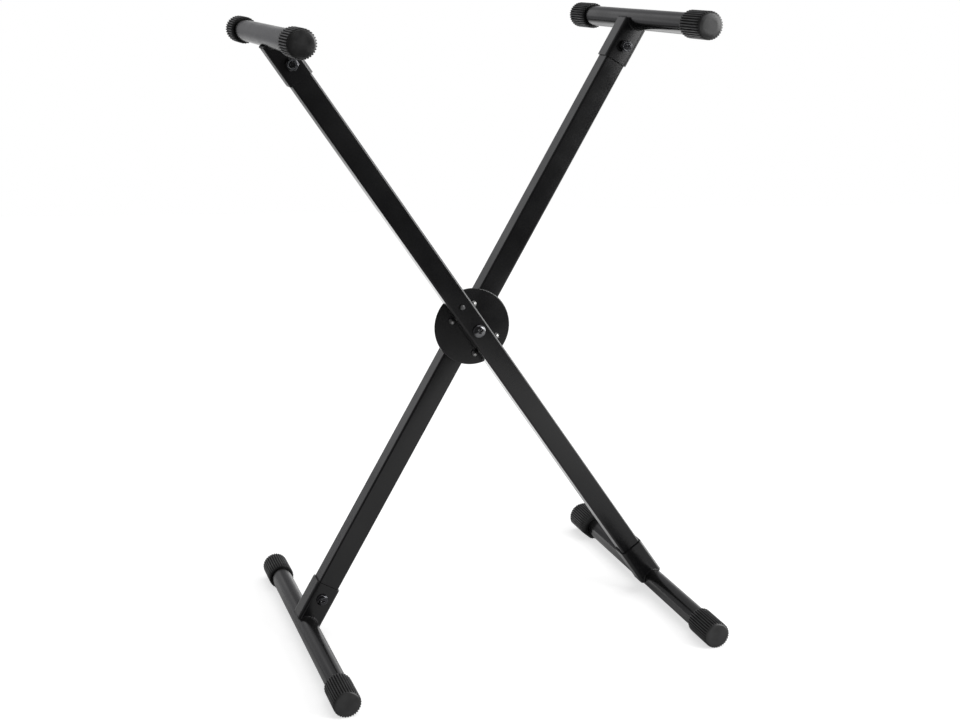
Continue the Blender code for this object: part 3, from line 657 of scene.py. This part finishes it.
def uneven_finish(name, patch, dark, pale, rough, grain, metallic=0.0, worn=None):
    """A finish whose two shades and roughnesses run into each other in patches, over a fine grain.

    grain is its size and depth. worn is the rubbed edges' width, break, colour and strength.
    """
    material, tree, shader = new_finish(name, metallic)
    clouds = place_effect(tree, soft_patches, Size=patch)
    colour = tint(tree, clouds, dark, pale)
    if worn:
        width, broken, bright, strength = worn
        edges = place_effect(tree, rubbed_edges, Width=width, Break=broken)
        if strength < 1.0:
            edges = maths(tree, "MULTIPLY", edges, strength)
        colour = tint(tree, edges, colour, bright)
    feed(tree, shader.inputs["Base Color"], colour)
    if isinstance(rough, tuple):
        rough = spread(tree, clouds, 0.0, 1.0, *rough)
    feed(tree, shader.inputs["Roughness"], rough)
    size, depth = grain
    raise_skin(tree, shader, place_effect(tree, skin_grain, Size=size, Depth=depth))
    return material


black_zinc = uneven_finish(
    "black_zinc", 0.004, (0.050, 0.050, 0.054, 1.0), (0.085, 0.085, 0.090, 1.0), rough=(0.10, 0.20),
    grain=(0.0004, 0.000006), metallic=1.0, worn=(0.0005, 0.0009, (0.85, 0.85, 0.86, 1.0), 1.0))
ring_nylon = uneven_finish(
    "nut_nylon", 0.002, (0.045, 0.047, 0.052, 1.0), (0.075, 0.078, 0.085, 1.0), rough=0.45,
    grain=(0.0005, 0.000010))


def turned(profile, steps=64, ring=False):
    """A shape turned on a lathe about z from (radius, z) points; a ring's points close on themselves."""
    shape = bmesh.new()
    line = [shape.verts.new((radius, 0.0, z)) for radius, z in profile]
    for first, second in zip(line, line[1:] + line[:1] if ring else line[1:]):
        shape.edges.new((first, second))
    bmesh.ops.spin(shape, geom=shape.verts[:] + shape.edges[:], cent=(0.0, 0.0, 0.0), axis=(0.0, 0.0, 1.0),
                   dvec=(0.0, 0.0, 0.0), angle=2 * math.pi, steps=steps, use_merge=True,
                   use_normal_flip=False, use_duplicate=False)
    bmesh.ops.remove_doubles(shape, verts=shape.verts, dist=0.000001)
    bmesh.ops.recalc_face_normals(shape, faces=shape.faces)
    return shape


def thread(radius, low, high, pitch):
    """Points of a threaded shank's side, from low to high."""
    root = radius * 0.90
    points = []
    turns = int((high - low) / pitch)
    for i in range(turns):
        z = low + i * pitch
        points += [(root, z), (radius, z + pitch * 0.42), (radius, z + pitch * 0.58)]
    return points + [(root, low + turns * pitch)]


def cross_bit(span, arm, depth):
    """The cross-shaped point of a screwdriver, which leaves its recess in a head."""
    shape = bmesh.new()
    bmesh.ops.create_cube(shape, size=1.0)
    bmesh.ops.scale(shape, vec=(span, arm, depth * 2), verts=shape.verts)
    foot = [vert for vert in shape.verts if vert.co.z > 0.0]
    bmesh.ops.scale(shape, vec=(0.55, 0.75, 1.0), verts=foot)
    other = shape.copy()
    bmesh.ops.rotate(other, cent=(0.0, 0.0, 0.0), matrix=Matrix.Rotation(math.pi / 2, 3, "Z"),
                     verts=other.verts)
    return carved(shape, other, operation="UNION")


def pan_screw(shank, head, rise, length, threaded, span, arm, depth):
    """A pan-head screw: the head below z = 0, the shank up z, threaded near its end."""
    profile = [
        (0.0, -rise),
        (head * 0.40, -rise * 0.995),
        (head * 0.66, -rise * 0.93),
        (head * 0.82, -rise * 0.80),
        (head * 0.93, -rise * 0.58),
        (head * 0.985, -rise * 0.32),
        (head, -rise * 0.12),
        (head * 0.985, 0.0),
        (shank, 0.0),
    ]
    lead_in = 0.0012
    profile += thread(shank, length - threaded, length - lead_in, pitch=0.00125)
    profile += [(shank * 0.72, length), (0.0, length)]
    return carved(turned(profile), moved(cross_bit(span, arm, depth), at(0.0, 0.0, -rise)))


def hexagon_nut(flats, hex_height, height, bore):
    """A lock nut from z = 0: a chamfered hexagon with a round collar that holds the nylon ring."""
    corner = flats / math.sqrt(3.0)
    face = flats * 0.475
    past_corner = corner * 1.01
    chamfer = (past_corner - face) * 0.55
    shape = bmesh.new()
    bmesh.ops.create_circle(shape, cap_ends=True, segments=6, radius=corner)
    pulled_up(shape, hex_height)
    lathe = turned(
        [
            (0.0, 0.0),
            (face, 0.0),
            (past_corner, chamfer),
            (past_corner, hex_height - chamfer),
            (face, hex_height),
            (0.0, hex_height),
        ],
        96,
    )
    shape = carved(shape, lathe, operation="INTERSECT")
    collar = turned(
        [
            (0.0, hex_height - 0.001),
            (flats * 0.455, hex_height - 0.001),
            (flats * 0.455, height - 0.0011),
            (flats * 0.43, height - 0.0003),
            (flats * 0.405, height),
            (flats * 0.385, height),
            (flats * 0.375, height - 0.0006),
            (0.0, height - 0.0006),
        ],
        96,
    )
    shape = carved(shape, collar, operation="UNION")
    return carved(shape, rod(bore, -0.001, height + 0.001))


def nylon_ring(radius, low, top, inner_top):
    """The ring in a lock nut's collar, its bore a little under the nut's."""
    bore = 0.00505
    return turned([(bore, low), (radius, low), (radius, top), (bore, inner_top)], ring=True)


screw_z = {"arm": 0.4625, "foot": -0.4555}
screw_shank = 0.0050
screw_rise = 0.0046
nut_bore = 0.0052
for side, place, part, head_behind, through in (
    ("front", front, "arm", True, True),
    ("front", front, "foot", True, False),
    ("back", back, "arm", True, True),
    ("back", back, "foot", False, True),
):
    name = f"{side}_{part}"
    body = f"{side}_leg"
    faces = to_front if head_behind else to_rear
    low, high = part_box(f"{name}_screw")
    seat = high.y - screw_rise if head_behind else low.y + screw_rise
    shape = pan_screw(screw_shank, head=0.0087, rise=screw_rise, length=high.y - low.y - screw_rise,
                      threaded=0.012, span=0.0090, arm=0.0020, depth=0.0028)
    fit(f"{name}_bolt", shape, place @ at(0.0, seat, screw_z[part]) @ faces, body, "black_plated_steel",
        black_zinc, f"{name}_screw", edge=0.00012)
    if through:
        low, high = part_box(f"{name}_nut")
        seat = high.y if head_behind else low.y
        spot = place @ at(0.0, seat, screw_z[part]) @ faces
        nut = hexagon_nut(flats=0.0165, hex_height=0.0066, height=high.y - low.y, bore=nut_bore)
        fit(f"{name}_locknut", nut, spot, body, "black_plated_steel", black_zinc, f"{name}_nut",
            edge=0.00015)
        fit(f"{name}_nut_ring", nylon_ring(0.0062, 0.0068, 0.0096, 0.0092), spot, body, "nylon",
            ring_nylon, edge=0.0)
frame["nodes"]["front_foot_rivet_nut"].material_slots[0].material = black_zinc


# End caps
# Long black rubber caps with 32 moulded ribs, pushed over the ends of the arms and feet. The grooves run
# out at the end, so the ribs stand round its smooth shallow dome like the teeth of a gear.

cap_radius = 0.01915
cap_length = 0.058
cap_gap = 0.0003
cap_groove = 0.0017
cap_ribs = 32
rib_columns = 8
groove_columns = {3: 0.28, 4: 1.0, 5: 1.0, 6: 1.0, 7: 0.28}


def moulded_rubber(name, dusty):
    """Black rubber: fine moulded grain, scuffed crests, dust in the hollows, and painted shade that darkens
    the grooves between the ribs so the crests stand out paler.
    """
    material, tree, shader = new_finish(name)
    clouds = place_effect(tree, soft_patches, Size=0.012)
    edges = place_effect(tree, rubbed_edges, Width=0.0007, Break=0.0030)
    dust = place_effect(tree, settled_dust, Amount=dusty)
    crest = tree.nodes.new("ShaderNodeAttribute")
    crest.attribute_name = "crest"
    crest = crest.outputs["Fac"]
    skin = tint(tree, clouds, (0.0105, 0.0105, 0.0108, 1.0), (0.0200, 0.0200, 0.0204, 1.0))
    # Painted shade: where crest falls to 0 in the grooves, the rubber is coloured near black, darker than on
    # the crests
    colour = tint(tree, crest, (0.0022, 0.0022, 0.0023, 1.0), skin)
    scuffed = maths(tree, "MULTIPLY", edges, maths(tree, "MULTIPLY", crest, 0.6))
    colour = tint(tree, scuffed, colour, (0.060, 0.060, 0.060, 1.0))
    feed(tree, shader.inputs["Base Color"], tint(tree, dust, colour, (0.16, 0.155, 0.15, 1.0)))
    rough = spread(tree, clouds, 0.0, 1.0, 0.30, 0.40)
    rough = maths(tree, "ADD", rough, spread(tree, crest, 1.0, 0.0, 0.0, 0.55))
    rough = maths(tree, "ADD", rough, maths(tree, "MULTIPLY", dust, 0.8), clamp=True)
    feed(tree, shader.inputs["Roughness"], rough)
    fine = place_effect(tree, skin_grain, Size=0.00035, Depth=0.000012)
    broad = place_effect(tree, skin_grain, Size=0.0030, Depth=0.000030)
    raise_skin(tree, shader, fine, broad)
    return material


cap_rubber = moulded_rubber("cap_rubber", 0.10)


def ribbed_cap(radius, length, ribs):
    """A cap with its mouth at z = 0 and its domed end up, one rib pointing along -y."""
    bore = tube_radius + cap_gap
    end_thick = 0.004
    rim = length - 0.0014
    floor = radius - cap_groove
    profile = [
        (0.0, rim - end_thick),
        (bore, rim - end_thick),
        (bore, 0.0004),
        (bore + 0.0004, 0.0),
        (radius - 0.0006, 0.0),
        (radius, 0.0006),
        (radius, length * 0.25),
        (radius, length * 0.5),
        (radius, length * 0.75),
        (radius, rim - 0.0014),
        (radius - 0.00020, rim - 0.0007),
        (radius - 0.00060, rim - 0.0002),
        (radius - 0.00120, rim),
        (floor - 0.00005, rim + 0.00005),
        (floor - 0.00030, rim + 0.0004),
        (floor - 0.00090, rim + 0.0009),
        (floor - 0.00220, rim + 0.0013),
        (radius * 0.5, rim + 0.0014),
        (0.0, rim + 0.0014),
    ]
    shape = turned(profile, ribs * rib_columns)
    # crest is 1 on the ribs and falls to 0 in the grooves; the rubber uses it to paint shade into the grooves
    crest = shape.verts.layers.float.new("crest")
    step = 2 * math.pi / (ribs * rib_columns)
    for vert in shape.verts:
        vert[crest] = 1.0
        reach = math.hypot(vert.co.x, vert.co.y)
        column = round(math.atan2(vert.co.y, vert.co.x) / step) % rib_columns
        depth = groove_columns.get(column, 0.0)
        if reach > floor:
            vert[crest] = 1.0 - depth
            sunk = reach - max(0.0, reach - (radius - cap_groove * depth))
            vert.co.x *= sunk / reach
            vert.co.y *= sunk / reach
    return moved(shape, Matrix.Rotation(-math.pi / 2 - step, 4, "Z"))


for side in ("front", "back"):
    for part in ("arm", "foot"):
        centre = middle(f"{side}_{part}_tube")
        for end, turn_to in (("front", to_front), ("rear", to_rear)):
            if (side, part, end) == ("front", "foot", "rear"):
                continue
            node = f"{side}_{part}_cap_{end}"
            low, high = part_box(node)
            mouth = high.y if end == "front" else low.y
            fit(f"{side}_{part}_rubber_{end}", ribbed_cap(cap_radius, cap_length, cap_ribs),
                at(centre.x, mouth, centre.z) @ turn_to, f"{side}_leg", "cap_rubber", cap_rubber, node,
                edge=0.0, keep_under=50.0)


# Levelling cap
# One foot's far cap is thicker on one side and has a flat, so turning it by hand takes the rock out of
# the stand on an uneven floor. It is moulded in the same rubber with the same kind of ribs.

level_radius = 0.0225
level_off = -0.0038
level_ribs = 38
level_flat = 0.0203
flat_angle = math.radians(228.0)
flat_way = Vector((math.cos(flat_angle), -math.sin(flat_angle), 0.0))
bore_side = tube_radius + 0.0009
centre = middle("front_foot_tube")
low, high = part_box("levelling_foot_cap")
shape = ribbed_cap(level_radius, cap_length, level_ribs)
for vert in shape.verts:
    if math.hypot(vert.co.x, vert.co.y) > bore_side:
        vert.co.x += level_off
        vert.co.y -= level_radius - cap_radius
        beyond = vert.co.dot(flat_way) - level_flat
        if beyond > 0.0:
            vert.co -= flat_way * beyond
fit("levelling_rubber", shape, at(centre.x, low.y, centre.z) @ to_rear, "levelling_foot", "cap_rubber",
    cap_rubber, "levelling_foot_cap", edge=0.0, keep_under=50.0)


# Lock disc
# A 4 mm steel disc, powder coated and then tacked to the back of the front leg with four short welds that
# stay bare. Six blind sockets in its rear face take the lock pin, one for each height of the stand.

low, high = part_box("lock_disc")
disc_front = low.y
disc_rear = high.y
disc_radius = 0.0567
disc_thick = 0.0040
disc_rim = [(0.0016, 0.0), (0.0010, 0.00015), (0.00045, 0.00050), (0.00012, 0.0010), (0.0, 0.0016)]
socket_depth = 0.0032
socket_count = 6
front_side = [(disc_radius - inset, rise) for inset, rise in disc_rim]
rear_side = [(radius, disc_thick - rise) for radius, rise in reversed(front_side)]
shape = turned([(0.0, 0.0), *front_side, *rear_side, (0.0, disc_thick)], 180)
moved(shape, at(0.0, disc_front, 0.0) @ to_rear)
shape = carved(shape, moved(rod(pivot_hole, -0.03, 0.03, 48), to_rear))
back_up = back @ Vector((0.0, 0.0, 1.0)) - pivot
lean = math.atan2(back_up.x, back_up.z)
first, last = hinge["range_deg"]
moved(shape, at(pivot.x, 0.0, pivot.z))
for i in range(socket_count):
    turned_by = math.radians(first + (last - first) * i / (socket_count - 1))
    around = Matrix.Translation(pivot) @ Matrix.Rotation(lean - turned_by, 4, "Y")
    bottom = around @ at(0.0, disc_rear - socket_depth, lock_height) @ to_rear
    shape = carved(shape, moved(rod(pin_hole, 0.0, 0.02, 40), bottom))
fit("disc", shape, Matrix.Identity(4), "front_leg", "powder_coated_steel", leg_coat, "lock_disc",
    edge=0.0002, keep_under=40.0)

bare_steel = uneven_finish(
    "bare_steel", 0.003, (0.20, 0.20, 0.20, 1.0), (0.46, 0.46, 0.45, 1.0), rough=(0.44, 0.26),
    grain=(0.0011, 0.00016), metallic=1.0, worn=(0.0006, 0.0010, (0.60, 0.60, 0.60, 1.0), 1.0))
tack_length = 0.0102
tack_width = 0.0096
tack_rise = 0.0044
tack_sunk = 0.0006


def tack(length, width, rise):
    """A short weld bead along z in overlapping ripples, blended into one lump."""
    shape = bmesh.new()
    coins = 5
    for i in range(coins):
        share = (i + 0.5) / coins * 2.0 - 1.0
        swell = math.sqrt(max(0.0, 1.0 - 0.45 * share * share))
        place = at(0.0, 0.0, share * (length / 2 - width * 0.30))
        size = Matrix.Diagonal((width / 2 * swell, rise * swell, width * 0.36, 1.0))
        bmesh.ops.create_uvsphere(shape, u_segments=20, v_segments=12, radius=1.0, matrix=place @ size)
    shape = worked(shape, "REMESH", mode="VOXEL", voxel_size=0.00035)
    bmesh.ops.smooth_vert(shape, verts=shape.verts, factor=0.5, use_axis_x=True, use_axis_y=True,
                          use_axis_z=True)
    return shape


for number, (x, z) in enumerate(((-0.0200, 0.0262), (0.0200, 0.0272), (-0.0200, -0.0345), (0.0200, -0.0335))):
    place = front @ at(x, disc_front - tack_sunk, z)
    fit(f"disc_tack_{number + 1}", tack(tack_length, tack_width, tack_rise), place, "front_leg",
        "powder_coated_steel", bare_steel, edge=0.0, keep_under=60.0)


# Dowel
# A steel dowel pushed through the front leg into the disc, its end standing a little proud of the leg. It
# keeps the disc square to the leg while it is welded, and its sawn end is only blackened.

blackened_steel = uneven_finish(
    "blackened_steel", 0.002, (0.070, 0.070, 0.072, 1.0), (0.190, 0.190, 0.192, 1.0), rough=(0.52, 0.38),
    grain=(0.0006, 0.000020), metallic=1.0)
low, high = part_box("disc_dowel")
dowel_radius = 0.0037
dowel_length = high.y - low.y
shape = turned(
    [
        (0.0, 0.0),
        (0.0031, 0.0),
        (0.0034, 0.0001),
        (dowel_radius, 0.0005),
        (dowel_radius, dowel_length),
        (0.0, dowel_length),
    ],
    48,
)
fit("dowel", shape, front @ at(0.0, low.y, dowel_height) @ to_rear, "front_leg", "black_plated_steel",
    blackened_steel, "disc_dowel", edge=0.0)


# Pivot
# One zinc-plated M10 pan-head screw with a cross recess runs through both legs, spaced inside each by a
# steel tube. A nylon washer lets the disc slide on the back leg, and a lock nut holds it behind.

zinc = uneven_finish(
    "bright_zinc", 0.005, (0.13, 0.131, 0.136, 1.0), (0.19, 0.191, 0.197, 1.0), rough=(0.10, 0.20),
    grain=(0.0005, 0.000006), metallic=1.0, worn=(0.0006, 0.0012, (0.78, 0.78, 0.78, 1.0), 1.0))
slip_nylon = uneven_finish(
    "slip_nylon", 0.006, (0.020, 0.020, 0.021, 1.0), (0.034, 0.034, 0.036, 1.0), rough=(0.42, 0.55),
    grain=(0.0006, 0.000008))


def on_pivot(y):
    """The pivot's line, facing the rear from this y."""
    return front @ at(0.0, y, 0.0) @ to_rear


def washer(node, radius, slot, material):
    """A flat washer on the pivot screw, in its node's place."""
    low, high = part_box(node)
    thick = high.y - low.y
    ring = turned([(pivot_hole, 0.0), (radius, 0.0), (radius, thick), (pivot_hole, thick)], 96, ring=True)
    fit(node + "_ring", ring, on_pivot(low.y), "front_leg", slot, material, node, edge=0.00015)


low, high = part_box("pivot_screw")
shape = pan_screw(screw_shank, head=0.0097, rise=screw_rise, length=high.y - low.y - screw_rise,
                  threaded=0.014, span=0.0108, arm=0.0024, depth=0.0032)
fit("pivot_bolt", shape, on_pivot(low.y + screw_rise), "front_leg", "plated_steel", zinc, "pivot_screw",
    edge=0.00012)
washer("pivot_slip_washer", 0.020, "nylon", slip_nylon)
washer("pivot_rear_washer", 0.012, "plated_steel", zinc)
low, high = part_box("pivot_lock_nut")
nut = hexagon_nut(flats=0.017, hex_height=0.0068, height=high.y - low.y, bore=nut_bore)
fit("pivot_locknut", nut, on_pivot(low.y), "front_leg", "plated_steel", zinc, "pivot_lock_nut",
    edge=0.00015)
fit("pivot_nut_ring", nylon_ring(0.0063, 0.0069, 0.0093, 0.0090), on_pivot(low.y), "front_leg", "nylon",
    ring_nylon, edge=0.0)
for node in ("front_pivot_spacer", "back_pivot_spacer"):
    frame["nodes"][node].material_slots[0].material = zinc


# Lock
# A spring-loaded steel pin in a threaded housing in the back leg. Pulling its black plastic knob draws
# the pin out of the disc, and letting go drops it into the next socket.

low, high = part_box("lock_housing")
barrel_radius = 0.0085
spring_room = 0.0066
flange_thick = 0.004
barrel_length = high.y - low.y
spring_seat = barrel_length - 0.0025
shape = turned(
    [
        (spring_room, 0.0),
        (barrel_radius, 0.0),
        (barrel_radius, barrel_length),
        (pin_hole, barrel_length),
        (pin_hole, spring_seat),
        (spring_room, spring_seat),
    ],
    ring=True,
)
flange = hexagon_nut(flats=0.022, hex_height=flange_thick, height=flange_thick, bore=0.0080)
shape = carved(shape, moved(flange, at(0.0, 0.0, barrel_length - flange_thick)), operation="UNION")
lock_place = back @ at(0.0, 0.0, lock_height)
fit("housing", shape, lock_place @ at(0.0, low.y, 0.0) @ to_rear, "back_leg", "black_plated_steel",
    black_zinc, "lock_housing", edge=0.00015)
for node in ("lock_pin", "lock_spring"):
    frame["nodes"][node].material_slots[0].material = zinc

knob_plastic = uneven_finish(
    "knob_plastic", 0.008, (0.014, 0.014, 0.0145, 1.0), (0.022, 0.022, 0.023, 1.0), rough=(0.28, 0.40),
    grain=(0.0007, 0.000012), worn=(0.0008, 0.002, (0.08, 0.08, 0.08, 1.0), 0.4))
knob_radius = 0.0145
knob_length = 0.0210
stem_radius = 0.0085
pin_seat = 0.014
flutes = 12.0
flute_depth = 0.055
shape = turned(
    [
        (0.0, pin_seat),
        (pin_hole, pin_seat),
        (pin_hole, 0.0),
        (0.0082, 0.0),
        (stem_radius, 0.0003),
        (stem_radius, 0.0056),
        (0.0090, 0.0060),
        (0.0128, 0.0068),
        (0.0140, 0.0080),
        (knob_radius, 0.0098),
        (knob_radius, 0.0130),
        (knob_radius, 0.0162),
        (0.0140, 0.0182),
        (0.0128, 0.0196),
        (0.0106, 0.0206),
        (0.0078, 0.0209),
        (0.0, knob_length),
    ],
    144,
)
for vert in shape.verts:
    if math.hypot(vert.co.x, vert.co.y) > knob_radius - 0.0020:
        flute = math.cos(flutes * math.atan2(vert.co.y, vert.co.x))
        pull = 1.0 - flute_depth * max(0.0, flute) ** 2
        vert.co.x *= pull
        vert.co.y *= pull
low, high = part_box("lock_knob")
fit("knob", shape, lock_place @ at(0.0, low.y, 0.0) @ to_rear, "lock", "knob_plastic", knob_plastic,
    "lock_knob", edge=0.0, keep_under=50.0)
